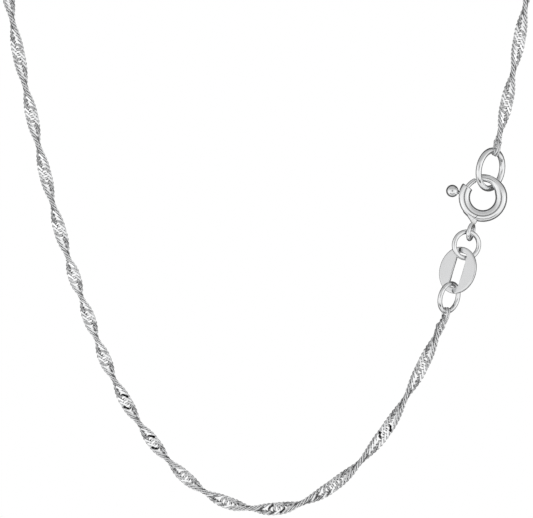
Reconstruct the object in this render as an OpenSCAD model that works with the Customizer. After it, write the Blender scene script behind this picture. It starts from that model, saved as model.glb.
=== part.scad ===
// Twisted curb chain necklace with a spring ring clasp, in millimetres.
// It hangs as it is worn: the origin is where the chain rests on the nape of the neck,
// +Z is up, the front faces -Y and +X is on the viewer's right.

/* [Chain] */
// Width of the flattened chain, across one link
chain_width = 1.45; // [1.2:0.05:1.5]
// Thickness of the flattened chain
chain_thickness = 0.65; // [0.5:0.05:0.7]
// Distance between two cross-sections of the twisted strip
section_gap = 1.3; // [1.1:0.1:2.5]
// Thickness of the end links' wire
end_link_wire = 0.24; // [0.2:0.02:0.3]

/* [End ring] */
// Outer diameter of the round ring that the clasp is hooked into
end_ring_diameter = 5; // [4.9:0.02:5.04]
// Thickness of its wire
end_ring_wire = 0.68; // [0.5:0.02:0.7]

/* [Spring ring] */
// Outer diameter of the spring ring
clasp_diameter = 5.5; // [5.4:0.05:5.6]
// Thickness of its hollow tube
tube_diameter = 1.32; // [1.2:0.02:1.34]
// Thickness of the thinner nose that the tongue shuts against
nose_diameter = 0.84; // [0.76:0.02:0.9]
// Thickness of the sliding tongue
tongue_diameter = 0.52; // [0.4:0.02:0.56]
// Diameter of the thumb knob
knob_diameter = 1.4; // [1.2:0.05:1.4]
// How far the knob slides back, in degrees round the ring
trigger_travel = 42; // [20:1:42]

/* [Jump rings] */
// Outer diameter of the ring between clasp and tag
clasp_jump_diameter = 3.5; // [3.4:0.02:3.54]
// Outer diameter of the ring between tag and chain
tag_jump_diameter = 3.74; // [3.6:0.02:3.8]
// Thickness of both rings' wire
jump_wire = 0.53; // [0.4:0.01:0.54]

/* [Tag] */
// Length of the flat oval tag
tag_length = 5.35; // [5.2:0.05:5.5]
// Width of the tag
tag_width = 4.6; // [4.2:0.1:4.8]
// Thickness of the tag
tag_thickness = 0.4; // [0.3:0.02:0.42]
// Width of the long slot in the tag
slot_width = 1.24; // [1.2:0.01:1.3]

/* [Hidden] */

silver = [0.85, 0.86, 0.88];
pale_silver = [0.91, 0.92, 0.93];

// The chain's middle line, from the tag's ring round the front, over the nape and down to the end ring
front_y = -84;
front_route = [
    [20.04, -83.83, -117.79], [18.5, front_y, -121.5], [16, front_y, -126.5], [13, front_y, -131.5],
    [9, front_y, -136], [4.5, front_y, -139], [0, front_y, -140], [-5, front_y, -139.1],
    [-9.5, front_y, -136.2], [-14, front_y, -131], [-17.5, front_y, -125], [-20.5, front_y, -117.5],
    [-23, front_y, -110], [-25, front_y, -102.5], [-26.5, front_y, -96], [-28, front_y, -89],
    [-29, front_y, -83.5]
];
side_route = [
    [-30.5, -84, -75], [-32, -84, -66], [-33.5, -83.5, -57], [-35.5, -82, -48.5], [-38, -78, -40.5],
    [-40.5, -71.5, -33], [-43, -63, -26.5], [-44.5, -53, -21], [-45, -42.5, -16], [-43.5, -32.5, -12],
    [-40, -23, -8.5], [-34.5, -15, -5.5], [-27.5, -8.5, -3], [-18.5, -3, -1], [-9.5, -0.5, 0]
];
nape = [0, 0, 0];
last_route = [[29, front_y, -83], [28, front_y, -88.5], [27, front_y, -93.5], [25.6, -83.77, -99.76]];
far_side = [for (i = [len(side_route) - 1:-1:0]) [-side_route[i].x, side_route[i].y, side_route[i].z]];
route = concat(front_route, side_route, [nape], far_side, last_route);

// Where the strip is seen edge-on, as distances along it from either end
near_edges = [2.59, 10.78, 19.69, 27.8, 33.6, 39.12, 44.48, 49.77, 55.48, 60.41, 65.4, 70.21, 76.44,
    83.19, 89.85, 97.47];
far_edges = [16.5, 9, 2];
hidden_half_turns = 46;
end_turn = 50;

// Places of the fastening's pieces in the front plane, [across, up], and how each leans and turns
end_ring_place = [25, -101.84];
end_ring_lean = 11;
end_ring_turn = 51;
end_ring_grip = 8;
clasp_place = [24.13, -104.97];
clasp_jump_place = [22.3, -110.31];
clasp_jump_lean = 13.5;
clasp_jump_turn = 20.5;
tag_place = [21.33, -113.15];
tag_lean = 16.5;
tag_turn = -31;
tag_jump_place = [20.34, -116.22];
tag_jump_lean = 16;
tag_jump_turn = 51;
tag_jump_grip = 172;

// Angles round the spring ring, anticlockwise from the right as seen from the front
mouth_angle = 144;
tube_end = 380;
taper_start = 15;
shoulder_end = 40;
nose_end = 107;
tip_angle = 109.5;
tail_angle = 190;
post_angle = 168;
slot_start = 162;

// The bore that the tongue slides back into, and how far it and the post's slot run on past what
// they clear, in degrees
ring_radius = (clasp_diameter - tube_diameter) / 2;
bore_radius = 0.4;
bore_overrun = 1;
tongue_room = 8;
post_room = 12;

// The nose lies a little further out than the tube, and a shoulder steps down to it
nose_shift = 0.1;
nose_radius = ring_radius + nose_shift;
shoulder_radius = ring_radius + nose_shift / 2;
shoulder_diameter = (tube_diameter + nose_diameter) / 2;

post_diameter = 0.4;
post_play = 0.14;
slot_height = post_diameter + post_play;
knob_gap = 0.05;
knob_radius = ring_radius + tube_diameter / 2 + knob_gap + knob_diameter / 2;

// The eye is soldered under the neck. Its place and the neck's outline are drawn about the clasp's
// centre, and the eye's angle is measured like those above
eye_place = [-1.34, -3.87];
eye_angle = 258;
eye_radius = 0.85;
eye_wire = 0.44;
eye_tilt = 19;
neck_thickness = 0.9;
neck_outline = [[-2.74, -0.63], [-1.43, -2.68], [-1.38, -3], [-0.9, -3.08], [-0.66, -2.78],
    [-0.5, -2.1], [-1.5, -1.6], [-2.1, -0.5]];

strip_bevel = 0.13;
strip_start = 0.62;
spline_steps = 12;
heading_step = 0.2;
link_steps = 12;
link_sides = 6;
end_link_length = 1.48;
end_link_width = 1.2;
link_gap = 0.1;
tag_steps = 72;
slot_length = 3.98;
slot_corner = 0.3;
slot_shift = 0.07;
cut = 2;

// Numbers of sides of a ring's circle, a wire, a tube or ball, and the eye's circle
ring_sides = 96;
wire_sides = 24;
tube_sides = 32;
eye_sides = 64;

function unit(v) = v / norm(v);

// A point on the smooth curve through b and c, with a and d as their neighbours
function curve_point(a, b, c, d, u) =
    0.5 * (2 * b + (c - a) * u + (2 * a - 5 * b + 4 * c - d) * u * u
        + (3 * b - a - 3 * c + d) * u * u * u);

// The whole curve through a list of points, with its two ends carried on straight
function curve(points) =
    let (n = len(points),
        p = concat([2 * points[0] - points[1]], points, [2 * points[n - 1] - points[n - 2]]))
    concat([for (i = [1:n - 1], j = [0:spline_steps - 1])
        curve_point(p[i - 1], p[i], p[i + 1], p[i + 2], j / spline_steps)], [points[n - 1]]);

// Distance walked to each point of a line
function walked(line) =
    [for (i = 0, s = 0; i < len(line);
        s = s + (i + 1 < len(line) ? norm(line[i + 1] - line[i]) : 0), i = i + 1) s];

function column(keys, values, axis) = [for (i = [0:len(keys) - 1]) [keys[i], values[i][axis]]];

middle = curve(route);
distance = walked(middle);
chain_length = distance[len(distance) - 1];
along_x = column(distance, middle, 0);
along_y = column(distance, middle, 1);
along_z = column(distance, middle, 2);

// The place on the middle line at a distance from its start
function place(s) = [lookup(s, along_x), lookup(s, along_y), lookup(s, along_z)];

// Turn of the strip against its distance, in degrees, where 0 is edge-on to the viewer
turns = concat([[0, end_turn]],
    [for (i = [0:len(near_edges) - 1]) [near_edges[i], 180 * i]],
    [for (i = [0:len(far_edges) - 1])
        [chain_length - far_edges[i], 180 * (len(near_edges) - 1 + hidden_half_turns + i)]],
    [[chain_length, 180 * (len(near_edges) + hidden_half_turns + 1) + end_turn]]);

section_count = round((chain_length - 2 * strip_start) / section_gap);
stations = [for (i = [0:section_count])
    strip_start + (chain_length - 2 * strip_start) * i / section_count];
centres = [for (s = stations) place(s)];
headings = [for (s = stations) unit(place(s + heading_step) - place(s - heading_step))];

// The depth direction carried along the chain without twist
carried = [for (i = 0, b = [0, 1, 0]; i < len(stations);
    i = i + 1, b = i < len(stations) ? unit(b - (b * headings[i]) * headings[i]) : b) b];

// A flat cross-section with bevelled corners, [across the band, through it]
strip_quarter = [[chain_width / 2, chain_thickness / 2 - strip_bevel],
    [chain_width / 2 - strip_bevel, chain_thickness / 2]];
strip_outline = [strip_quarter[0], strip_quarter[1],
    [-strip_quarter[1].x, strip_quarter[1].y], [-strip_quarter[0].x, strip_quarter[0].y],
    -strip_quarter[0], -strip_quarter[1],
    [strip_quarter[1].x, -strip_quarter[1].y], [strip_quarter[0].x, -strip_quarter[0].y]];

// The cross-section in its place, turned left-handed as the chain goes on
function section(i) =
    let (turn = lookup(stations[i], turns), b = carried[i], n = cross(headings[i], b),
        wide = b * cos(turn) - n * sin(turn), thin = cross(headings[i], wide))
    [for (corner = strip_outline) centres[i] + wide * corner.x + thin * corner.y];

// The twisted strip that stands for the interlocked links
module strip() {
    n = len(strip_outline);
    last = len(stations) - 1;
    points = [for (i = [0:last]) each section(i)];
    walls = [for (i = [0:last - 1], k = [0:n - 1]) let (m = (k + 1) % n)
        each [[i * n + k, (i + 1) * n + k, i * n + m], [i * n + m, (i + 1) * n + k, (i + 1) * n + m]]];
    first_cap = [for (k = [0:n - 1]) k];
    last_cap = [for (k = [n - 1:-1:0]) last * n + k];
    polyhedron(points, concat(walls, [first_cap, last_cap]));
}

// An oval wire link with its length along Z and its hole along X, looped round the wire of an
// upright ring of the given size
module end_link(ring_diameter, ring_wire) {
    foot = (ring_wire + end_link_wire) / 2 + link_gap;
    middle_z = (ring_diameter - ring_wire) / 2 + end_link_length / 2 - foot;
    spots = [for (i = [0:link_steps - 1]) let (a = 360 * i / link_steps)
        [0, end_link_width / 2 * cos(a), middle_z + end_link_length / 2 * sin(a)]];
    for (i = [0:link_steps - 1]) hull() {
        translate(spots[i]) sphere(d = end_link_wire, $fn = link_sides);
        translate(spots[(i + 1) % link_steps]) sphere(d = end_link_wire, $fn = link_sides);
    }
}

// Moves a piece that is drawn upright about its own centre to its place in the front plane
module hang(spot, lean, turn)
    translate([spot.x, front_y, spot.y]) rotate([0, lean, 0]) rotate([0, 0, turn]) children();

module chain() color(silver) {
    strip();
    hang(tag_jump_place, tag_jump_lean, tag_jump_turn) rotate([0, tag_jump_grip, 0])
        end_link(tag_jump_diameter, jump_wire);
    hang(end_ring_place, end_ring_lean, end_ring_turn) rotate([0, end_ring_grip, 0])
        end_link(end_ring_diameter, end_ring_wire);
}

// A round wire ring that stands upright and faces the front
module wire_ring(diameter, wire)
    rotate([90, 0, 0]) rotate_extrude($fn = ring_sides) translate([(diameter - wire) / 2, 0])
        circle(d = wire, $fn = wire_sides);

module end_ring() color(silver)
    hang(end_ring_place, end_ring_lean, end_ring_turn) wire_ring(end_ring_diameter, end_ring_wire);

module clasp_jump_ring() color(silver)
    hang(clasp_jump_place, clasp_jump_lean, clasp_jump_turn) wire_ring(clasp_jump_diameter, jump_wire);

module tag_jump_ring() color(silver)
    hang(tag_jump_place, tag_jump_lean, tag_jump_turn) wire_ring(tag_jump_diameter, jump_wire);

// An arc of round bar about the clasp's centre, in the plane of the ring
module ring_arc(middle_radius, diameter, from, to)
    rotate_extrude(angle = to - from, start = from, $fn = ring_sides)
        translate([middle_radius, 0]) circle(d = diameter, $fn = tube_sides);

// The small upright eye under the neck, turned so that its front half shows on the left
module eye()
    translate(eye_place) rotate([0, 0, eye_angle]) rotate([90 + eye_tilt, 0, 0])
        rotate_extrude($fn = eye_sides) translate([eye_radius, 0]) circle(d = eye_wire, $fn = wire_sides);

module neck()
    translate([0, 0, -neck_thickness / 2]) linear_extrude(neck_thickness) polygon(neck_outline);

// The curved way that lets the trigger's post slide along the outside of the tube
module trigger_slot()
    rotate_extrude(angle = trigger_travel + post_room, start = slot_start, $fn = ring_sides)
        translate([ring_radius, -slot_height / 2]) square([cut, slot_height]);

module spring_ring() color(silver)
    translate([clasp_place.x, front_y, clasp_place.y]) rotate([90, 0, 0]) difference() {
        union() {
            ring_arc(ring_radius, tube_diameter, mouth_angle, tube_end);
            ring_arc(shoulder_radius, shoulder_diameter, taper_start, shoulder_end);
            ring_arc(nose_radius, nose_diameter, taper_start, nose_end);
            neck();
            eye();
        }
        ring_arc(ring_radius, 2 * bore_radius, mouth_angle - bore_overrun,
            tail_angle + trigger_travel + tongue_room);
        trigger_slot();
    }

module trigger() color(pale_silver)
    translate([clasp_place.x, front_y, clasp_place.y]) rotate([90, 0, 0]) {
        ring_arc(ring_radius, tongue_diameter, tip_angle, tail_angle);
        rotate([0, 0, post_angle]) translate([ring_radius, 0, 0]) rotate([0, 90, 0])
            cylinder(h = knob_radius - ring_radius, d = post_diameter, $fn = wire_sides);
        rotate([0, 0, post_angle]) translate([knob_radius, 0, 0]) sphere(d = knob_diameter, $fn = tube_sides);
    }

// A long slot with rounded corners, about the origin
module slot_outline() {
    square([slot_width, slot_length - 2 * slot_corner], center = true);
    square([slot_width - 2 * slot_corner, slot_length], center = true);
    for (x = [-1, 1], y = [-1, 1])
        translate([x * (slot_width / 2 - slot_corner), y * (slot_length / 2 - slot_corner)])
            circle(r = slot_corner, $fn = tube_sides);
}

module tag() color(pale_silver)
    hang(tag_place, tag_lean, tag_turn) rotate([90, 0, 0]) translate([0, 0, -tag_thickness / 2])
        difference() {
            linear_extrude(tag_thickness) polygon([for (i = [0:tag_steps - 1])
                let (a = 360 * i / tag_steps) [tag_width / 2 * cos(a), tag_length / 2 * sin(a)]]);
            translate([slot_shift, 0, -cut / 2]) linear_extrude(cut) slot_outline();
        }

chain();
end_ring();
spring_ring();
trigger();
clasp_jump_ring();
tag();
tag_jump_ring();
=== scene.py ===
import bmesh
import bpy
import numpy as np
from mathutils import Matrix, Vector


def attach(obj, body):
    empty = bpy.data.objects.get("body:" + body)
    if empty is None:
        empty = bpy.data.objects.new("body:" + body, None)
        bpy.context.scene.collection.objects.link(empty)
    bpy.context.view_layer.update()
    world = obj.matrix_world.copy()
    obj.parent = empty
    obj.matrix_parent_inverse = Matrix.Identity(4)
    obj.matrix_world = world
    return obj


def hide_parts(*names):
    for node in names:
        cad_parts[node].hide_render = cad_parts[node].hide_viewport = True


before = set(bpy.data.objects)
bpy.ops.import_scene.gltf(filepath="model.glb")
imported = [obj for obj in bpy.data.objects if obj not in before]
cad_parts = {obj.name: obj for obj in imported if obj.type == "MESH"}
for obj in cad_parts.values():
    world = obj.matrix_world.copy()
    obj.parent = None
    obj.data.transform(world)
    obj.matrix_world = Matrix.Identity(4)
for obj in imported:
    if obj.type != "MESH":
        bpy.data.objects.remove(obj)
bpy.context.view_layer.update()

# Chain: about 800 links of fine silver wire, each passed through the three before it, laid flat as a
# curb chain, ground flat on both faces and then twisted. At each end two plain links hook round the
# wire of a ring.
mm = 0.001
link_pitch = 0.55
link_tip = [0.93, 0.04, -0.24]
link_shoulder = [0.3, 0.51, -0.24]
link_side = [0.15, 0.59, -0.13]
wire_half_width = 0.092
wire_half_height = 0.082
wire_flat_share = 0.875
ground_widening = 0.2
first_link = 1.42

front_y = -84
front_route = [
    [20.04, -83.83, -117.79], [18.5, front_y, -121.5], [16, front_y, -126.5], [13, front_y, -131.5],
    [9, front_y, -136], [4.5, front_y, -139], [0, front_y, -140], [-5, front_y, -139.1],
    [-9.5, front_y, -136.2], [-14, front_y, -131], [-17.5, front_y, -125], [-20.5, front_y, -117.5],
    [-23, front_y, -110], [-25, front_y, -102.5], [-26.5, front_y, -96], [-28, front_y, -89],
    [-29, front_y, -83.5],
]
side_route = [
    [-30.5, -84, -75], [-32, -84, -66], [-33.5, -83.5, -57], [-35.5, -82, -48.5], [-38, -78, -40.5],
    [-40.5, -71.5, -33], [-43, -63, -26.5], [-44.5, -53, -21], [-45, -42.5, -16], [-43.5, -32.5, -12],
    [-40, -23, -8.5], [-34.5, -15, -5.5], [-27.5, -8.5, -3], [-18.5, -3, -1], [-9.5, -0.5, 0],
]
nape = [[0, 0, 0]]
far_side = [[-x, y, z] for x, y, z in reversed(side_route)]
last_route = [[29, front_y, -83], [28, front_y, -88.5], [27, front_y, -93.5], [25.6, -83.77, -99.76]]
spline_steps = 24

# Distances at which the band is seen edge-on, from either end, and its half turns between them
near_edges = [
    2.59, 10.78, 19.69, 27.8, 33.6, 39.12, 44.48, 49.77, 55.48, 60.41, 65.4, 70.21, 76.44, 83.19, 89.85,
    97.47,
]
far_edges = [16.5, 9, 2]
hidden_half_turns = 46
end_turn = 50
inside_loop = [0, -50, -70]


def unit(vectors):
    """Each vector divided by its length."""
    return vectors / np.linalg.norm(vectors, axis=-1, keepdims=True)


def dot(a, b):
    """The products of the coordinates, added up, kept as a last column."""
    return np.sum(a * b, axis=-1, keepdims=True)


def spin(x, y, degrees):
    """Two coordinates turned about their origin, the first towards the second."""
    angle = np.radians(degrees)
    return x * np.cos(angle) - y * np.sin(angle), x * np.sin(angle) + y * np.cos(angle)


def smooth_curve(points):
    """The cubic through each pair of points whose slope at a point is half the step between the
    points before and after it. The ends are carried on straight."""
    points = np.array(points, float)
    held = np.vstack([2 * points[0] - points[1], points, 2 * points[-1] - points[-2]])
    a, b, c, d = (held[k:len(points) - 1 + k, None] for k in range(4))
    u = np.linspace(0, 1, spline_steps, endpoint=False)[:, None]
    spans = 2 * b + (c - a) * u + (2 * a - 5 * b + 4 * c - d) * u**2 + (3 * b - a - 3 * c + d) * u**3
    return np.vstack([0.5 * spans.reshape(-1, 3), points[-1:]])


def depth_carried(line, heading):
    """The depth direction slid along the line without twist. A direction away from a point inside the
    loop is never along the line, so it serves as the base: its own turn about the line, added up
    step by step, is taken off it, and the start is set to point away from the viewer."""
    base = line - inside_loop
    base = unit(base - dot(base, heading) * heading)
    side = np.cross(heading, base)
    turning = dot(np.diff(base, axis=0), (side[1:] + side[:-1]) / 2)[:, 0]
    start = np.arctan2(side[0, 1], base[0, 1])
    angle = (start - np.concatenate([[0], np.cumsum(turning)]))[:, None]
    return base * np.cos(angle) + side * np.sin(angle)


middle = smooth_curve(front_route + side_route + nape + far_side + last_route)
walked = np.concatenate([[0], np.cumsum(np.linalg.norm(np.diff(middle, axis=0), axis=1))])
chain_length = walked[-1]
heading = unit(np.gradient(middle, axis=0))
depth = depth_carried(middle, heading)

far_turn = len(near_edges) - 1 + hidden_half_turns
turn_places = [0, *near_edges, *[chain_length - edge for edge in far_edges], chain_length]
turn_angles = [
    end_turn,
    *[180 * i for i in range(len(near_edges))],
    *[180 * (far_turn + i) for i in range(len(far_edges))],
    180 * (far_turn + len(far_edges) - 1) + end_turn,
]


def band_frame(distance):
    """The band's middle, heading, width and face directions at distances along it. The width
    direction is edge-on to the viewer at a turn of 0 and turns left-handed as the turn grows."""
    def along(values):
        return np.stack([np.interp(distance, walked, values[:, k]) for k in range(3)], axis=-1)

    ahead = unit(along(heading))
    away = along(depth)
    away = unit(away - dot(away, ahead) * ahead)
    turn = np.radians(np.interp(distance, turn_places, turn_angles))[..., None]
    wide = away * np.cos(turn) - np.cross(ahead, away) * np.sin(turn)
    return along(middle), ahead, wide, np.cross(ahead, wide)


# A link's twelve corners [along the band, across it, through it]. Each quarter slants from tip to
# shoulder along one face of the band, where it is ground flat and shows as a stroke. At the tips and
# sides the wire passes through to the other face.
near_quarter = np.array([link_tip, link_shoulder, link_side])
far_quarter = near_quarter[::-1] * [-1, 1, -1]
half_link = np.concatenate([near_quarter, far_quarter])
link_line = np.concatenate([half_link, half_link * [-1, -1, 1]])

# The six corners of its wire, which is widest at the ground flat and narrower towards the middle
corner_out = np.array([1, wire_flat_share, -wire_flat_share, -1, -wire_flat_share, wire_flat_share])
corner_up = np.array([0, -1, -1, 0, 1, 1])
ground_spread = ground_widening * np.sign(link_line[:, 2:]) * corner_up * corner_out


def curb_links(distances):
    """Links as a grid [link, place, corner]: a link's line is carried to its place in the band, and a
    corner adds the wire's half width square to the line, seen flat, and its half height through the
    band. A link stays rigid, so its flats stay flat where the band twists."""
    step = np.roll(link_line, -1, axis=0)[:, :2] - np.roll(link_line, 1, axis=0)[:, :2]
    out = unit(step)[:, ::-1] * [1, -1]
    grid = link_line[:, None] + np.zeros((len(corner_out), 1))
    grid[..., :2] += wire_half_width * (corner_out + ground_spread)[..., None] * out[:, None]
    grid[..., 2] += wire_half_height * corner_up
    place, ahead, wide, face = (a[:, None, None] for a in band_frame(distances))
    return place + ahead * grid[..., :1] + wide * grid[..., 1:2] + face * grid[..., 2:]


def shell(points, rows_close=True, columns_close=True):
    """The corners, square faces and flat coordinates of grids of points [copy, row, column]. Face
    (r, c) joins (r, c), (r, c + 1), (r + 1, c + 1) and (r + 1, c), and a direction that closes goes
    on to its first point. The flat coordinates count rows and columns as shares of the whole."""
    copies, rows, columns = points.shape[:3]
    r, c = np.meshgrid(np.arange(rows - (not rows_close)), np.arange(columns - (not columns_close)),
                       indexing="ij")
    next_r, next_c = (r + 1) % rows, (c + 1) % columns
    quads = np.stack([r * columns + c, r * columns + next_c, next_r * columns + next_c,
                      next_r * columns + c], axis=-1).reshape(-1, 4)
    faces = quads[None] + np.arange(copies)[:, None, None] * rows * columns
    across = np.stack([r, r, r + 1, r + 1], axis=-1).reshape(-1, 4) / rows
    around = np.stack([c, c + 1, c + 1, c], axis=-1).reshape(-1, 4) / columns
    flat = np.stack([across, around], axis=-1)[None] + np.arange(copies)[:, None, None, None] * [1, 0]
    return points.reshape(-1, 3), faces.reshape(-1, 4), flat.reshape(-1, 2)


def make_piece(name, *shells):
    """One mesh object, in metres, from shells in millimetres."""
    starts = np.cumsum([0] + [len(points) for points, _, _ in shells])
    points = np.concatenate([points for points, _, _ in shells]) * mm
    faces = np.concatenate([faces + start for (_, faces, _), start in zip(shells, starts)])
    flat = np.concatenate([flat for _, _, flat in shells])
    mesh = bpy.data.meshes.new(name)
    mesh.vertices.add(len(points))
    mesh.vertices.foreach_set("co", points.ravel())
    mesh.loops.add(faces.size)
    mesh.loops.foreach_set("vertex_index", faces.ravel())
    mesh.polygons.add(len(faces))
    mesh.polygons.foreach_set("loop_start", np.arange(0, faces.size, 4))
    mesh.uv_layers.new(name="UVMap").uv.foreach_set("vector", flat.ravel())
    mesh.polygons.foreach_set("use_smooth", np.ones(len(faces), bool))
    mesh.update(calc_edges=True)
    piece = bpy.data.objects.new(name, mesh)
    bpy.context.scene.collection.objects.link(piece)
    return piece


def hang(points, spot, lean, turn):
    """Points drawn about a piece's own centre, turned about the upright axis, leant to the side and
    moved to a place [across, up] in the front plane."""
    x, y, z = np.moveaxis(points, -1, 0)
    x, y = spin(x, y, turn)
    z, x = spin(z, x, lean)
    return np.stack([x + spot[0], y + front_y, z + spot[1]], axis=-1)


# The rings that the two ends hook round, whose places are [across, up] in the front plane. Each ring
# leans to the side and is turned about the upright, in degrees.
jump_wire = 0.53
tag_jump_diameter = 3.74
tag_jump_place = [20.34, -116.22]
tag_jump_lean = 16
tag_jump_turn = 51
tag_jump_grip = 172
end_ring_diameter = 5
end_ring_wire = 0.68
end_ring_place = [25, -101.84]
end_ring_lean = 11
end_ring_turn = 51
end_ring_grip = 8

end_link_length = 1.85
end_link_width = 1.3
end_link_wire = 0.2
end_link_places = 20
end_link_sides = 6
drop_middle = 0.75
drop_fall = 0.35
end_link_gap = 0.03
end_link_splay = 0.09
end_link_pinch = 0.115
end_link_turn = -24


def end_link(side, ring_diameter, ring_wire, grip, spot, lean, turn):
    """A round wire carried round a drop that hooks round the ring's wire with its wide end. With p
    round the drop and q round the wire, the half width goes with cos p times a share that falls as
    sin p grows, and the wire's radius is added along the line's normal by cos q and square to the drop
    by minus sin q. Side, 1 or -1, is the side on which the link lies, further out at the ring. The link
    is turned a little about its own length, and grip turns it round the ring."""
    foot = (ring_wire + end_link_wire) / 2 + end_link_gap
    low_z = (ring_diameter - ring_wire) / 2 - foot
    p = np.linspace(0, 2 * np.pi, end_link_places, endpoint=False)
    q = np.linspace(0, 2 * np.pi, end_link_sides, endpoint=False)
    line = np.stack([end_link_width / 2 * np.cos(p) * (drop_middle - drop_fall * np.sin(p)),
                     low_z + end_link_length / 2 * (1 + np.sin(p))], axis=-1)
    normal = unit(np.roll(line, -1, axis=0) - np.roll(line, 1, axis=0))[:, ::-1] * [1, -1]
    drop = line[:, None] + end_link_wire / 2 * np.cos(q)[:, None] * normal[:, None]
    y, z = drop[..., 0], drop[..., 1]
    x = -end_link_wire / 2 * np.sin(q) + 0 * y
    x, y = spin(x, y, end_link_turn * np.cos(np.radians(grip)))
    share = (1 - np.sin(p)[:, None]) / 2
    z, x = spin(z, x + side * (end_link_pinch + end_link_splay * share), grip)
    return shell(hang(np.stack([x, y, z], axis=-1), spot, lean, turn)[None])


class Socket:
    """A value in a shader. Arithmetic on it adds Math nodes, with a number on either side."""

    def __init__(self, recipe, output):
        self.recipe = recipe
        self.output = output

    def math(self, operation, *values):
        return self.recipe.node("ShaderNodeMath", {"operation": operation}, dict(enumerate(values)))

    def __add__(self, other):
        return self.math("ADD", self, other)

    def __radd__(self, other):
        return self.math("ADD", other, self)

    def __sub__(self, other):
        return self.math("SUBTRACT", self, other)

    def __rsub__(self, other):
        return self.math("SUBTRACT", other, self)

    def __mul__(self, other):
        return self.math("MULTIPLY", self, other)

    def __rmul__(self, other):
        return self.math("MULTIPLY", other, self)

    def __abs__(self):
        return self.math("ABSOLUTE", self)


class Recipe:
    """The nodes of one material or of the studio's surroundings. node() adds any node: its type, its
    settings, which are set first, the values or links of its sockets, and the output that is wanted.
    Sockets and outputs go by name or number."""

    grain_detail = 3.0

    def __init__(self, owner):
        owner.use_nodes = True
        self.tree = owner.node_tree
        self.tree.nodes.clear()

    def node(self, kind, settings=None, sockets=None, output=0):
        made = self.tree.nodes.new(kind)
        for name, value in (settings or {}).items():
            setattr(made, name, value)
        for name, value in (sockets or {}).items():
            if isinstance(value, Socket):
                self.tree.links.new(value.output, made.inputs[name])
            else:
                made.inputs[name].default_value = value
        return Socket(self, made.outputs[output] if made.outputs else None)

    def split(self, vector):
        """The three coordinates of a vector."""
        split_up = self.node("ShaderNodeSeparateXYZ", None, {"Vector": vector}).output.node
        return [Socket(self, output) for output in split_up.outputs]

    def between(self, value, low, high, at_low=0.0, at_high=1.0):
        """Goes softly from at_low to at_high while value goes from low to high."""
        return self.node("ShaderNodeMapRange", {"interpolation_type": "SMOOTHSTEP"},
                         {"Value": value, "From Min": low, "From Max": high,
                          "To Min": at_low, "To Max": at_high})

    def blend(self, share, first, second):
        """Goes from the first colour to the second as share goes from 0 to 1. A Mix node's sockets
        share their names, so the ones for colours go by number."""
        return self.node("ShaderNodeMix", {"data_type": "RGBA"}, {0: share, 6: first, 7: second}, 2)

    def place(self):
        """The place on the piece, in metres."""
        return self.node("ShaderNodeTexCoord", output="Object")

    def grain(self, where, scale):
        """Cloudy noise from 0 to 1 over a place or a flat coordinate."""
        return self.node("ShaderNodeTexNoise", None,
                         {"Vector": where, "Scale": scale, "Detail": self.grain_detail})

    def metal(self, colour, roughness, height, depth):
        """Bare metal with that colour and roughness, and relief as deep as depth, in millimetres."""
        relief = self.node("ShaderNodeBump", None,
                           {"Strength": 1.0, "Distance": depth * mm, "Height": height})
        metal = self.node("ShaderNodeBsdfPrincipled", None,
                          {"Base Color": colour, "Metallic": 1.0, "Roughness": roughness,
                           "Normal": relief})
        self.node("ShaderNodeOutputMaterial", None, {"Surface": metal})


def shared(share, first, second):
    """Goes evenly from the first value to the second as share goes from 0 to 1."""
    return first + (second - first) * share


def paint(piece, material):
    """Gives the piece its one material."""
    piece.data.materials.append(material)


ground_colour = (0.96, 0.965, 0.97, 1)
# Painted shade: the darker colour laid on the chain between its links
painted_shade_colour = (0.7, 0.7, 0.71, 1)
chain_roughness = (0.26, 0.38)
ground_roughness = 0.06
chain_cloud_scale = 900.0
chain_polish_scale = 9000.0
chain_relief = 0.002


def chain_silver():
    """Bright ground flats on polished wire, with painted shade that darkens the colour between the
    links.
    """
    material = bpy.data.materials.new("chain_silver")
    recipe = Recipe(material)
    ground = recipe.node("ShaderNodeAttribute", {"attribute_name": "ground"}, output="Fac")
    painted_shade = recipe.node("ShaderNodeAttribute", {"attribute_name": "painted_shade"}, output="Fac")
    place = recipe.place()
    colour = recipe.blend(painted_shade, ground_colour, painted_shade_colour)
    cloudy = shared(recipe.grain(place, chain_cloud_scale), *chain_roughness)
    roughness = shared(ground, cloudy, ground_roughness)
    recipe.metal(colour, roughness, recipe.grain(place, chain_polish_scale), chain_relief)
    return material


link_count = round((chain_length - 2 * first_link) / link_pitch) + 1
link_places = np.linspace(first_link, chain_length - first_link, link_count)
end_links = [
    end_link(side, diameter, wire, grip, place, lean, turn)
    for diameter, wire, grip, place, lean, turn in (
        (tag_jump_diameter, jump_wire, tag_jump_grip, tag_jump_place, tag_jump_lean, tag_jump_turn),
        (end_ring_diameter, end_ring_wire, end_ring_grip, end_ring_place, end_ring_lean, end_ring_turn))
    for side in (-1, 1)
]
chain = make_piece("chain_links", shell(curb_links(link_places)), *end_links)

# The ground flats are the outer sides of the slanting stretches, the first and fifth of each six, and
# they keep a crisp edge
stretch = np.arange(len(link_line)) % len(half_link)
wire_side = np.arange(len(corner_out))
link_ground = (np.logical_and.outer(stretch == 0, wire_side == 1)
               | np.logical_and.outer(stretch == 4, wire_side == 4))
end_faces = len(chain.data.polygons) - link_count * link_ground.size
ground = np.concatenate([np.tile(link_ground.ravel(), link_count), np.zeros(end_faces, bool)])
ground_mark = chain.data.attributes.new("ground", "FLOAT", "FACE")
ground_mark.data.foreach_set("value", ground.astype(np.float32))
chain.data.polygons.foreach_set("use_smooth", ~ground)
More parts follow.
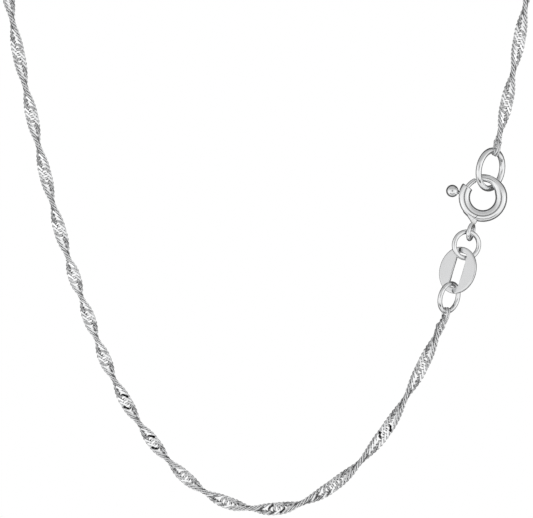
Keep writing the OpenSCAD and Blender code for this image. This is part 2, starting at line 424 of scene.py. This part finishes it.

# Painted shade: the colour is darkened on the corners that face the band's middle plane, most of all
# under the ground stretches
link_height = link_line[:, 2:] / abs(link_tip[2])
link_painted_shade = np.clip(-link_height * corner_up, 0, 1)
end_corners = len(chain.data.vertices) - link_count * link_painted_shade.size
painted_shade = np.concatenate([np.tile(link_painted_shade.ravel(), link_count), np.zeros(end_corners)])
painted_shade_mark = chain.data.attributes.new("painted_shade", "FLOAT", "POINT")
painted_shade_mark.data.foreach_set("value", painted_shade.astype(np.float32))

paint(chain, chain_silver())
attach(chain, "necklace")
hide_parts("chain")

# End ring: a plain round ring of the stoutest wire, linked to the chain's upper end. The clasp is
# hooked into it, so it hangs turned half away with the clasp's tube passing through its lower part.
ring_places = 120
wire_sides = 28
polish_loss = 0.002
end_ring_seam = 0.12
wire_colour = (0.85, 0.855, 0.86, 1)
seam_colour = (0.3, 0.3, 0.31, 1)
seam_core = 0.0008
seam_edge = 0.0022
drawn_lines = (4, 90, 1)
wire_roughness = (0.07, 0.15)
seam_roughness = 0.2
wire_cloud_scale = 700.0
wire_relief = 0.002


def wire_ring(diameter, wire, spot, lean, turn):
    """A round wire carried round a circle that faces the front: with p round the ring and q round the
    wire, the distance from the axis is the ring's radius plus the wire's times cos q, and the depth is
    the wire's radius times sin q. Polishing has taken a hair off the wire."""
    p = np.linspace(0, 2 * np.pi, ring_places, endpoint=False)[:, None]
    q = np.linspace(0, 2 * np.pi, wire_sides, endpoint=False)
    radius = wire / 2 - polish_loss
    reach = (diameter - wire) / 2 + radius * np.cos(q)
    grid = np.stack([reach * np.cos(p), radius * np.sin(q) + 0 * p, reach * np.sin(p)], axis=-1)
    return shell(hang(grid, spot, lean, turn)[None])


def wire_silver(name, seam):
    """Drawn and polished wire: faint lines run along it, and a hairline shows where its ends meet, at
    that share of the way round."""
    material = bpy.data.materials.new(name)
    recipe = Recipe(material)
    flat = recipe.node("ShaderNodeUVMap", {"uv_map": "UVMap"})
    place = recipe.place()
    stretched = recipe.node("ShaderNodeMapping", None, {"Vector": flat, "Scale": drawn_lines})
    drawn = recipe.grain(stretched, 1.0)
    share = recipe.split(flat)[0]
    joint = recipe.between(abs(share - seam), seam_core, seam_edge, 1.0, 0.0)
    colour = recipe.blend(joint, wire_colour, seam_colour)
    cloudy = shared(recipe.grain(place, wire_cloud_scale), *wire_roughness)
    roughness = cloudy + seam_roughness * joint
    recipe.metal(colour, roughness, drawn - joint, wire_relief)
    return material


end_ring = make_piece("end_ring_wire", wire_ring(end_ring_diameter, end_ring_wire, end_ring_place,
                                                 end_ring_lean, end_ring_turn))
paint(end_ring, wire_silver("end_ring_silver", end_ring_seam))
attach(end_ring, "necklace")
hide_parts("end_ring")

# Spring ring: a thin tube bent into a ring, open at the mouth, with a thinner nose that the tongue
# shuts against, a slot along its outside for the knob's post, and a pinched neck with a soldered eye.
# Angles are degrees about the clasp's centre, from its right over its top.
clasp_place = [24.13, -104.97]
clasp_diameter = 5.5
tube_diameter = 1.32
nose_diameter = 0.84
ring_radius = (clasp_diameter - tube_diameter) / 2
nose_shift = 0.1
mouth_angle = 144
nose_angle = 467
taper_start = 370
taper_end = 425
bore_end = 240
bore_radius = 0.4
round_steps = 7
body_places = 150
bore_places = 30
tube_sides = 48


def on_clasp(points):
    """Points drawn from the front about the clasp's centre, [right, up, towards the viewer]."""
    x, y, z = np.moveaxis(points, -1, 0)
    return np.stack([x + clasp_place[0], front_y - z, y + clasp_place[1]], axis=-1)


def round_bar(angle, reach, radius, sides):
    """A round bar carried about the clasp's centre: at each station the bar's middle lies at an angle
    and a reach, and q round the bar adds its radius times cos q outwards and times sin q in depth."""
    places = np.shape(angle)
    angle, reach, radius = (np.broadcast_to(a, places)[:, None] for a in (angle, reach, radius))
    q = np.linspace(0, 2 * np.pi, sides, endpoint=False)
    angle = np.radians(angle)
    out = reach + radius * np.cos(q)
    grid = np.stack([out * np.cos(angle), out * np.sin(angle), radius * np.sin(q)], axis=-1)
    return shell(on_clasp(grid)[None], rows_close=False)


def soft_step(x, low, high):
    """0 below low, 1 above high and a smooth climb between."""
    t = np.clip((x - low) / (high - low), 0, 1)
    return t * t * (3 - 2 * t)


def lip(angle, inner, outer):
    """Half a circle from the bore's wall out to the tube's outside, as angles and radii."""
    turn = np.linspace(0, np.pi, round_steps)
    half_wall = (outer - inner) / 2
    per_degree = np.radians(1) * ring_radius
    angles = angle + half_wall * (1 - np.sin(turn)) / per_degree
    return angles, (inner + outer) / 2 - half_wall * np.cos(turn)


def dome(angle, way, radius):
    """A bar's rounded end as angles and radii: a quarter circle from its tip out to the full radius.
    Way is 1 where the bar lies at larger angles and -1 where it lies at smaller ones."""
    turn = np.linspace(0, np.pi / 2, round_steps)
    per_degree = np.radians(1) * ring_radius
    return angle + way * radius * (1 - np.cos(turn)) / per_degree, radius * np.sin(turn)


mouth_lip, mouth_radii = lip(mouth_angle, bore_radius, tube_diameter / 2)
nose_tip, nose_radii = dome(nose_angle, -1, nose_diameter / 2)
body_angles = np.linspace(mouth_lip[-1], nose_tip[-1], body_places)[1:-1]
thinning = soft_step(body_angles, taper_start, taper_end)
body_radii = tube_diameter / 2 + (nose_diameter - tube_diameter) / 2 * thinning
bore_angles = np.linspace(bore_end, mouth_lip[0], bore_places)[:-1]
tube_angles = np.concatenate([[bore_end], bore_angles, mouth_lip, body_angles, nose_tip[::-1]])
tube_radii = np.concatenate([[0], np.full(len(bore_angles), bore_radius), mouth_radii, body_radii,
                             nose_radii[::-1]])
tube_reach = ring_radius + nose_shift * soft_step(tube_angles, taper_start, taper_end)
tube = round_bar(tube_angles, tube_reach, tube_radii, tube_sides)

eye_place = [-1.34, -3.87]
eye_angle = 258
eye_radius = 0.85
eye_wire = 0.44
eye_tilt = 19
eye_places = 64
eye_sides = 24


def eye_ring():
    """A round wire carried round a small circle that stands on edge below the clasp: p round the eye,
    q round its wire. The circle lies along the line at the eye's angle and, tilted, in depth."""
    p = np.linspace(0, 2 * np.pi, eye_places, endpoint=False)[:, None]
    q = np.linspace(0, 2 * np.pi, eye_sides, endpoint=False)
    reach = eye_radius + eye_wire / 2 * np.cos(q)
    x, y, z = reach * np.cos(p), reach * np.sin(p), eye_wire / 2 * np.sin(q) + 0 * p
    y, z = spin(y, z, 90 + eye_tilt)
    x, y = spin(x, y, eye_angle)
    return shell(on_clasp(np.stack([x + eye_place[0], y + eye_place[1], z], axis=-1))[None])


# The neck is soldered to the eye's top. Its sections run from inside the tube down to the eye.
solder_place = [-1.17, -3.02]
neck_angle = 248
neck_swell = 0.75
neck_places = 26
neck_sides = 40
neck_reach = [1.45, 1.61, 2.1, 2.6, 2.98, 3.16, 3.24]
neck_left = [-2.1, -2.25, -1.58, -0.85, -0.3, -0.1, 0.02]
neck_right = [0.1, 0.2, 0.33, 0.41, 0.39, 0.3, 0.1]
neck_half_depth = [0.3, 0.42, 0.52, 0.45, 0.33, 0.27, 0.1]


def neck_body():
    """A pinched cone of oval sections square to the line from the clasp's centre to the eye. A
    section's half width and half depth go with the cosine and sine of q, swollen a little."""
    rows = np.linspace(neck_reach[0], neck_reach[-1], neck_places)
    left, right, deep = (np.interp(rows, neck_reach, column)[:, None]
                         for column in (neck_left, neck_right, neck_half_depth))
    closed = np.ones_like(left)
    closed[[0, -1]] = 0
    q = np.linspace(0, 2 * np.pi, neck_sides, endpoint=False)
    wide = np.sign(np.cos(q)) * np.abs(np.cos(q))**neck_swell
    side = (left + right) / 2 + closed * (right - left) / 2 * wide
    near = closed * deep * np.sign(np.sin(q)) * np.abs(np.sin(q))**neck_swell
    x, y = spin(rows[:, None] + 0 * q, side, neck_angle)
    return shell(on_clasp(np.stack([x, y, near], axis=-1))[None], rows_close=False)


# The neck fills part of the bore, which is cleared again as far as clear_end, a hair wider
clear_end = 170
clear_width = 0.002


def bore_cutter():
    """A round bar that runs along the bore past the neck, with flat ends."""
    angles = np.linspace(bore_end, clear_end, bore_places)
    radii = (bore_radius + clear_width) * np.concatenate([[0], np.ones(bore_places), [0]])
    return round_bar(np.concatenate([angles[:1], angles, angles[-1:]]), ring_radius, radii, tube_sides)


def capped_bar(grid):
    """A bar from its sections [place, corner], drawn about the clasp's centre, that is closed at both
    ends by a section shrunk to its middle."""
    caps = grid[[0, -1]].mean(axis=1, keepdims=True) + 0 * grid[[0, -1]]
    return shell(on_clasp(np.concatenate([caps[:1], grid, caps[1:]]))[None], rows_close=False)


# The slot's bar, whose inner and outer faces lie further out than the tube's middle by slot_reach
slot_half_height = 0.27
slot_start = 162
slot_end = 216
slot_places = 24
slot_reach = [0.1, 0.9]


def slot_cutter():
    """A flat bar bent about the clasp's centre, square in section, that runs out through the wall."""
    angle = np.radians(np.linspace(slot_start, slot_end, slot_places))[:, None]
    inner, outer = slot_reach
    reach = ring_radius + np.array([inner, outer, outer, inner])
    z = slot_half_height * np.array([-1, -1, 1, 1])
    return capped_bar(np.stack([reach * np.cos(angle), reach * np.sin(angle), z + 0 * angle], axis=-1))


# The seam's two arms meet in a V below the tube, [right, up] about the clasp's centre. Each is cut by
# a wedge on either face, from seam_front down to seam_floor above the clasp's middle plane.
seam_foot = [-1.31, -2.66]
seam_left = [-1.98, -1.8]
seam_right = [-0.53, -1.99]
seam_half_width = 0.035
seam_front = 0.8
seam_floor = 0.3
seam_places = 8


def seam_cutter(start, end, face_sign):
    """A three-sided wedge along a line from start to end, widest in front and sharp at its floor. The
    face's sign is 1 on the clasp's front and -1 on its back."""
    start, end = np.array(start), np.array(end)
    along = unit(end - start)
    across = np.array([-along[1], along[0]]) * seam_half_width
    corners = np.array([across, -across, 0 * across])
    depths = face_sign * np.array([seam_front, seam_front, seam_floor])
    rows = start + (end - start) * np.linspace(0, 1, seam_places)[:, None]
    flat = rows[:, None] + corners
    return capped_bar(np.concatenate([flat, depths[:, None] + 0 * flat[..., :1]], axis=-1))


weld_reach = 0.0001


def weld(piece):
    """Merges the points of closed ends and turns every face outwards."""
    mesh = bmesh.new()
    mesh.from_mesh(piece.data)
    bmesh.ops.remove_doubles(mesh, verts=mesh.verts, dist=weld_reach * mm)
    bmesh.ops.recalc_face_normals(mesh, faces=mesh.faces)
    mesh.to_mesh(piece.data)
    mesh.free()
    return piece


def work(piece, operation, tool):
    """Joins the piece with the tool, or cuts it by the tool, as a new mesh. The tool is used up."""
    step = piece.modifiers.new("work", "BOOLEAN")
    step.operation = operation
    step.solver = "EXACT"
    step.object = tool
    graph = bpy.context.evaluated_depsgraph_get()
    shaped = bpy.data.meshes.new_from_object(piece.evaluated_get(graph))
    piece.modifiers.remove(step)
    piece.data = shaped
    bpy.data.objects.remove(tool)


clasp_colour = (0.88, 0.885, 0.89, 1)
solder_colour = (0.76, 0.76, 0.75, 1)
solder_core = 0.3
solder_edge = 0.8
clasp_roughness = (0.15, 0.23)
solder_roughness = 0.1
haze_scale = 500.0
clasp_polish_scale = 5000.0
clasp_relief = 0.001
crease_angle = 38


def clasp_silver():
    """Polished thin sheet with a soft haze, duller and a little yellow-grey where it was soldered."""
    material = bpy.data.materials.new("clasp_silver")
    recipe = Recipe(material)
    place = recipe.place()
    joint_at = on_clasp(np.array([*solder_place, 0.0])) * mm
    from_joint = recipe.node("ShaderNodeVectorMath", {"operation": "DISTANCE"},
                             {0: place, 1: tuple(joint_at)}, "Value")
    solder = recipe.between(from_joint, solder_core * mm, solder_edge * mm, 1.0, 0.0)
    colour = recipe.blend(solder, clasp_colour, solder_colour)
    hazy = shared(recipe.grain(place, haze_scale), *clasp_roughness)
    roughness = hazy + solder_roughness * solder
    recipe.metal(colour, roughness, recipe.grain(place, clasp_polish_scale), clasp_relief)
    return material


spring_ring = weld(make_piece("spring_ring_body", tube))
work(spring_ring, "UNION", weld(make_piece("neck_blank", neck_body())))
work(spring_ring, "UNION", weld(make_piece("eye_blank", eye_ring())))
cutters = [bore_cutter(), slot_cutter(), *[seam_cutter(arm, seam_foot, face_sign)
                                           for face_sign in (1, -1) for arm in (seam_left, seam_right)]]
for cutter in cutters:
    work(spring_ring, "DIFFERENCE", weld(make_piece("cutting_tool", cutter)))
spring_ring.data.set_sharp_from_angle(angle=np.radians(crease_angle))
paint(spring_ring, clasp_silver())
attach(spring_ring, "necklace")
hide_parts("spring_ring")

# Trigger: the tongue that shuts the mouth, a bent wire inside the tube, with a riveted post and a ball
# for the thumbnail. It slides back round the ring, which is the necklace's one joint.
tongue_diameter = 0.52
tip_angle = 109.5
tail_angle = 190
post_angle = 168
post_diameter = 0.4
knob_diameter = 1.4
knob_gap = 0.05
knob_reach = ring_radius + tube_diameter / 2 + knob_gap + knob_diameter / 2
fillet_width = 0.04
fillet_length = 0.02
tongue_places = 50
tongue_sides = 24
ball_places = 30
knob_sides = 40
no_seam = -1.0


def tongue():
    """A round bar about the clasp's centre whose ends round off as quarter circles."""
    radius = tongue_diameter / 2
    tip, tip_radii = dome(tip_angle, 1, radius)
    tail, tail_radii = dome(tail_angle, -1, radius)
    between = np.linspace(tip[-1], tail[-1], tongue_places)[1:-1]
    angles = np.concatenate([tip, between, tail[::-1]])
    radii = np.concatenate([tip_radii, np.full(len(between), radius), tail_radii[::-1]])
    return round_bar(angles, ring_radius, radii, tongue_sides)


def knob():
    """A profile turned about the post's axis: the post's side, a small hollow fillet, then the ball.
    A point's distance from the clasp's centre and from the axis are the profile's two columns."""
    ball, post = knob_diameter / 2, post_diameter / 2
    meet = np.arcsin((post + fillet_width) / ball)
    turn = np.linspace(np.pi - meet, 0, ball_places)
    along = np.concatenate([[ring_radius, ring_radius, knob_reach - ball - fillet_length],
                            knob_reach + ball * np.cos(turn)])[:, None]
    radius = np.concatenate([[0, post, post], ball * np.sin(turn)])[:, None]
    q = np.linspace(0, 2 * np.pi, knob_sides, endpoint=False)
    x, y = spin(along, radius * np.cos(q), post_angle)
    near = radius * np.sin(q)
    return shell(on_clasp(np.stack([x, y, near], axis=-1))[None], rows_close=False)


trigger = weld(make_piece("trigger_and_knob", tongue(), knob()))
paint(trigger, wire_silver("trigger_silver", no_seam))
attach(trigger, "trigger")
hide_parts("trigger")

# Clasp jump ring: a small ring of round wire, cut from a coil and closed, that links the eye to the
# tag's slot. It leans with the clasp's weight and its joint shows as a hairline.
clasp_jump_diameter = 3.5
clasp_jump_place = [22.3, -110.31]
clasp_jump_lean = 13.5
clasp_jump_turn = 20.5
clasp_jump_seam = 0.88
clasp_jump = make_piece("clasp_jump_wire", wire_ring(clasp_jump_diameter, jump_wire, clasp_jump_place,
                                                     clasp_jump_lean, clasp_jump_turn))
paint(clasp_jump, wire_silver("clasp_jump_silver", clasp_jump_seam))
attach(clasp_jump, "necklace")
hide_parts("clasp_jump_ring")

# Tag: a flat oval stamped from thin sheet, with a long slot from end to end of its middle and rims
# that the polishing has rounded. Nothing is written on it.
tag_place = [21.33, -113.15]
tag_lean = 16.5
tag_turn = -31
tag_length = 5.35
tag_width = 4.6
tag_thickness = 0.4
slot_width = 1.24
slot_length = 3.98
slot_corner = 0.3
slot_shift = 0.07
rim_round = 0.15
tag_dish = 0.02
tag_places = 240
rim_steps = 5
face_steps = 8
rim_crease = 40
least = 1e-9
light_satin = (0.82, 0.825, 0.83, 1)
dark_satin = (0.75, 0.755, 0.76, 1)
tag_roughness = (0.08, 0.14)
satin_scale = 450.0
tag_polish_scale = 6000.0
tag_relief = 0.0005


def slot_edge(angle):
    """The slot's outline at angles round its centre: a rectangle whose corners are quarter circles. A
    ray meets the straight sides first, and a corner's circle where it is nearer."""
    across, up = np.cos(angle), np.sin(angle)
    half_x, half_y = slot_width / 2, slot_length / 2
    reach = np.minimum(half_x / np.maximum(np.abs(across), least),
                       half_y / np.maximum(np.abs(up), least))
    centre_x, centre_y = half_x - slot_corner, half_y - slot_corner
    middle = np.abs(across) * centre_x + np.abs(up) * centre_y
    gap = slot_corner**2 - (centre_x**2 + centre_y**2 - middle**2)
    rounded = middle + np.sqrt(np.maximum(gap, 0))
    x, y = np.abs(reach * across), np.abs(reach * up)
    in_corner = (x > centre_x) & (y > centre_y)
    return np.where(in_corner, rounded, reach)


def tag_plate():
    """A ring-shaped plate: p goes round it, and q round its section, from the slot's wall over the
    front face, round the outer rim and back. The section is a rectangle with rounded corners, and the
    faces are dished by a hair."""
    p = np.linspace(0, 2 * np.pi, tag_places, endpoint=False)[:, None]
    reach = slot_edge(p)
    inner = np.concatenate([slot_shift + reach * np.cos(p), reach * np.sin(p)], axis=-1)
    outer = np.concatenate([tag_width / 2 * np.cos(p), tag_length / 2 * np.sin(p)], axis=-1)
    span = np.linalg.norm(outer - inner, axis=-1, keepdims=True)
    corner = np.linspace(0, np.pi / 2, rim_steps)
    half = tag_thickness / 2
    start_x = rim_round * (1 - np.cos(corner)) / span
    start_z = half - rim_round * (1 - np.sin(corner))
    rim = rim_round / span
    face_x = rim + np.linspace(0, 1, face_steps + 2)[1:-1] * (1 - 2 * rim)
    front_x = np.concatenate([start_x, face_x, 1 - start_x[:, ::-1]], axis=1)
    front_z = np.concatenate([start_z, np.full(face_steps, half), start_z[::-1]])
    along = np.concatenate([front_x, front_x[:, ::-1]], axis=1)
    z = np.concatenate([front_z, -front_z])
    flat = inner[:, None] + (outer - inner)[:, None] * along[..., None]
    dish = tag_dish * (1 - (flat[..., 0] / (tag_width / 2))**2)
    return np.stack([flat[..., 0], -(z + dish - tag_dish / 2), flat[..., 1]], axis=-1)


def tag_silver():
    """Rolled sheet, satin on its faces from tumbling."""
    material = bpy.data.materials.new("tag_silver")
    recipe = Recipe(material)
    place = recipe.place()
    satin = recipe.grain(place, satin_scale)
    colour = recipe.blend(satin, light_satin, dark_satin)
    roughness = shared(satin, *tag_roughness)
    recipe.metal(colour, roughness, recipe.grain(place, tag_polish_scale), tag_relief)
    return material


tag = weld(make_piece("tag_plate", shell(hang(tag_plate(), tag_place, tag_lean, tag_turn)[None])))
tag.data.set_sharp_from_angle(angle=np.radians(rim_crease))
paint(tag, tag_silver())
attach(tag, "necklace")
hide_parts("tag")

# Tag jump ring: the same wire as the clasp's jump ring, a little larger, that links the tag's slot to
# the chain's lower end.
tag_jump_seam = 0.42
tag_jump = make_piece("tag_jump_wire", wire_ring(tag_jump_diameter, jump_wire, tag_jump_place,
                                                 tag_jump_lean, tag_jump_turn))
paint(tag_jump, wire_silver("tag_jump_silver", tag_jump_seam))
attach(tag_jump, "necklace")
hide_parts("tag_jump_ring")

# Studio: a pale floor, a white tent that darkens behind the piece and has a black opening for the
# lens, two soft lamps, and a long lens at the height of the clasp's side of the chain.
view_centre = [-0.17, -111.89]
view_width = 59.89
camera_distance = 600
floor_height = -165
floor_half = 400
floor_grey = (0.92, 0.92, 0.92, 1)
floor_roughness = 0.9
floor_glow = 0.4
sensor_width = 36
nearest = 10
farthest = 20000
left_lamp_place = [-500, -300, -300]
left_lamp_size = 260
right_lamp_place = [520, -250, -150]
right_lamp_size = 200
lamp_brightness = 0.2

# The tent by direction. While a coordinate of the direction goes from the first value to the second,
# the share of the light goes from the third to the fourth. The card has its middle at card_middle.
cloth_above = (0.0, 0.7, 1.0, 0.55)
cloth_below = (-0.9, -0.5, 0.9, 1.0)
lens_surround = (-0.97, -0.94, 0.45, 1.0)
lens_opening = (-0.997, -0.99, 0.0, 1.0)
dark_behind = (0.0, 0.35, 1.0, 0.12)
card_middle = -0.46
card_edge = (0.08, 0.14, 1.0, 0.0)
card_top = (-0.7, -0.6, 1.0, 0.0)
card_darkness = 0.9


def pale_floor():
    """A flat square of smooth pale board."""
    corners = floor_half * np.array([[-1, -1, 0], [1, -1, 0], [-1, 1, 0], [1, 1, 0]])
    grid = corners.reshape(1, 2, 2, 3) + [0, front_y / 2, floor_height]
    board = make_piece("floor", shell(grid, rows_close=False, columns_close=False))
    material = bpy.data.materials.new("pale_board")
    recipe = Recipe(material)
    face = recipe.node("ShaderNodeBsdfPrincipled", None,
                       {"Base Color": floor_grey, "Roughness": floor_roughness,
                        "Emission Color": (1, 1, 1, 1), "Emission Strength": floor_glow})
    recipe.node("ShaderNodeOutputMaterial", None, {"Surface": face})
    paint(board, material)
    board.visible_glossy = False


def studio_tent():
    """The surroundings' brightness by direction: white cloth to the left, right and below, greyer above
    and round the lens, dark behind, a black opening for the lens and a narrow dark card low in front.
    The picture's own background is plain white."""
    world = bpy.data.worlds.new("tent")
    bpy.context.scene.world = world
    recipe = Recipe(world)
    _, back, up = recipe.split(recipe.node("ShaderNodeTexCoord", output="Generated"))
    cloth = recipe.between(up, *cloth_above) * recipe.between(up, *cloth_below)
    front = recipe.between(back, *lens_surround) * recipe.between(back, *lens_opening)
    behind = recipe.between(back, *dark_behind)
    card = recipe.between(abs(back - card_middle), *card_edge) * recipe.between(up, *card_top)
    tent = cloth * front * behind * (1.0 - card_darkness * card)
    seen = recipe.node("ShaderNodeLightPath", output="Is Camera Ray")
    light = shared(seen, tent, 1.0)
    sky = recipe.node("ShaderNodeBackground", None, {"Color": (1, 1, 1, 1), "Strength": light})
    recipe.node("ShaderNodeOutputWorld", None, {"Surface": sky})


def soft_lamp(name, place, size):
    """A square lamp that faces the middle of the front, not seen by the lens. Its power is its
    brightness times pi times its area."""
    lamp = bpy.data.lights.new(name, "AREA")
    lamp.size = size * mm
    lamp.energy = lamp_brightness * np.pi * lamp.size**2
    holder = bpy.data.objects.new(name, lamp)
    bpy.context.scene.collection.objects.link(holder)
    towards = np.array([0, front_y, view_centre[1]]) - place
    holder.location = np.array(place) * mm
    holder.rotation_euler = Vector(towards).to_track_quat("-Z", "Y").to_euler()
    holder.visible_camera = False


pale_floor()
studio_tent()
soft_lamp("left_lamp", left_lamp_place, left_lamp_size)
soft_lamp("right_lamp", right_lamp_place, right_lamp_size)

lens = bpy.data.cameras.new("camera")
lens.sensor_width = sensor_width
lens.lens = sensor_width * camera_distance / view_width
lens.clip_start = nearest * mm
lens.clip_end = farthest * mm
camera = bpy.data.objects.new("camera", lens)
camera.location = np.array([view_centre[0], front_y - camera_distance, view_centre[1]]) * mm
camera.rotation_euler = (np.pi / 2, 0, 0)
bpy.context.scene.collection.objects.link(camera)
bpy.context.scene.camera = camera
bpy.context.scene.view_settings.view_transform = "Standard"
